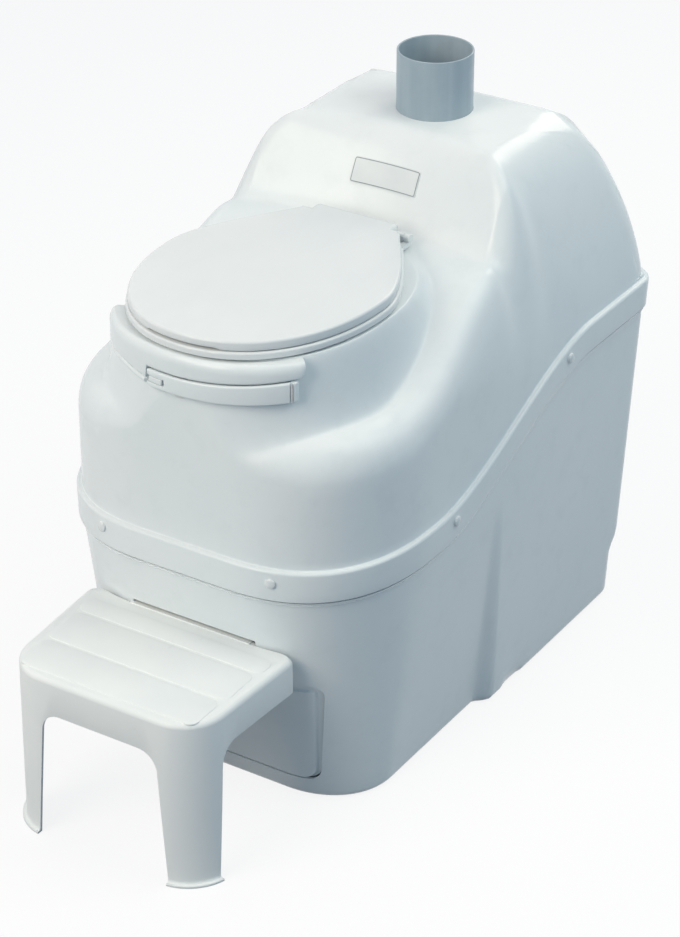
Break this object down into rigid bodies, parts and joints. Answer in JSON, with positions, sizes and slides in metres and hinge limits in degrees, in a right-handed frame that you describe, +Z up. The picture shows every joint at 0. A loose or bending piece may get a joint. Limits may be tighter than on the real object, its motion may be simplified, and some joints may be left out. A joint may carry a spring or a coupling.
{
  "type": "composting toilet",
  "caption": "Self-contained composting toilet: two-part body, hinged seat and lid, crank-turned drum, finishing drawer, step and vent pipe.",
  "frame": {"origin": "on the floor, under the middle of the tub's width; Y is 0 about where the lid's hinge stands", "axes": "+Z up, front faces -Y, +X is to the right seen from the front; the outermost faces are the widest part of the flange"},
  "size_m": [0.5448, 1.0456, 0.887],
  "materials": {
    "gelcoat": "white gel-coated fibreglass, glossy",
    "seat_plastic": "white moulded plastic, glossy",
    "step_plastic": "off-white moulded plastic, matt",
    "pipe_plastic": "blue-grey rigid pipe, satin",
    "drum_plastic": "off-white moulded plastic, satin",
    "steel": "stainless steel, brushed",
    "rubber": "off-white rubber, matt"
  },
  "bodies": {
    "body": {"lower_shell": "gelcoat", "upper_shell": "gelcoat", "front_lip": "gelcoat", "bowl_liner": "seat_plastic", "seat_hinge_block_left": "seat_plastic", "seat_hinge_block_right": "seat_plastic", "flange_screw_1": "seat_plastic", "flange_screw_2": "seat_plastic", "flange_screw_3": "seat_plastic", "flange_screw_4": "seat_plastic", "flange_screw_5": "seat_plastic", "flange_screw_6": "seat_plastic", "flange_screw_7": "seat_plastic", "flange_screw_8": "seat_plastic", "vent_pipe": "pipe_plastic", "drain_spout": "pipe_plastic", "drive_bush": "drum_plastic", "front_bearing_bracket": "drum_plastic", "rear_bearing_post": "drum_plastic", "crank_bracket": "steel", "crank_pin": "steel", "seat_hinge_pin_left": "steel", "seat_hinge_pin_right": "steel", "drawer_runner_left": "steel", "drawer_runner_right": "steel", "vent_collar": "rubber"},
    "ring": {"seat_ring": "seat_plastic", "ring_bumper_1": "rubber", "ring_bumper_2": "rubber", "ring_bumper_3": "rubber", "ring_bumper_4": "rubber"},
    "lid": {"seat_lid": "seat_plastic"},
    "crank": {"crank_handle": "gelcoat"},
    "lock": {"drum_lock_plunger": "gelcoat"},
    "drum": {"drum_shell": "drum_plastic", "drum_front_plate": "drum_plastic", "drum_rear_plate": "drum_plastic", "drum_front_axle": "steel", "drum_rear_axle": "steel", "drum_ring_gear": "drum_plastic", "drum_door_pin": "steel", "mixing_bar_1": "steel", "mixing_bar_2": "steel", "mixing_bar_3": "steel"},
    "hatch": {"drum_door": "drum_plastic"},
    "drive": {"drive_pinion": "drum_plastic", "drive_shaft": "steel"},
    "drawer": {"finishing_drawer": "drum_plastic", "drawer_front": "gelcoat"},
    "step": {"step": "step_plastic"}
  },
  "joints": [
    {"name": "seat_ring_hinge", "type": "hinge", "parent": "body", "child": "ring", "pos_m": [0, 0.04, 0.6975], "axis": [-1, 0, 0], "range_deg": [0, 105]},
    {"name": "seat_lid_hinge", "type": "hinge", "parent": "ring", "child": "lid", "pos_m": [0, 0.04, 0.6975], "axis": [1, 0, 0], "range_deg": [-105, 0]},
    {"name": "crank_fold", "type": "hinge", "parent": "body", "child": "crank", "pos_m": [0.1435, -0.3409, 0.6395], "axis": [0, 0, 1], "range_deg": [0, 90]},
    {"name": "drum_lock_pull", "type": "slide", "parent": "body", "child": "lock", "axis": [-0.1267, -0.9919, 0], "range_m": [0, 0.008], "stiffness_N_per_m": 150},
    {"name": "drum_turn", "type": "hinge", "parent": "body", "child": "drum", "pos_m": [0, -0.0955, 0.43], "axis": [0, 1, 0], "continuous": true},
    {"name": "drum_door_hinge", "type": "hinge", "parent": "drum", "child": "hatch", "pos_m": [-0.08145, -0.168, 0.57327], "axis": [0, 1, 0], "range_deg": [0, 60]},
    {"name": "drive_turn", "type": "hinge", "parent": "body", "child": "drive", "pos_m": [0, -0.332, 0.634], "axis": [0, 1, 0], "continuous": true},
    {"name": "drawer_slide", "type": "slide", "parent": "body", "child": "drawer", "axis": [0, -1, 0], "range_m": [0, 0.17]},
    {"name": "step_pull", "type": "slide", "parent": "body", "child": "step", "axis": [0, -1, 0], "range_m": [0, 0.05]}
  ],
  "couplings": [
    {"joint": "drive_turn", "follows": "drum_turn", "ratio": -4.4}
  ]
}
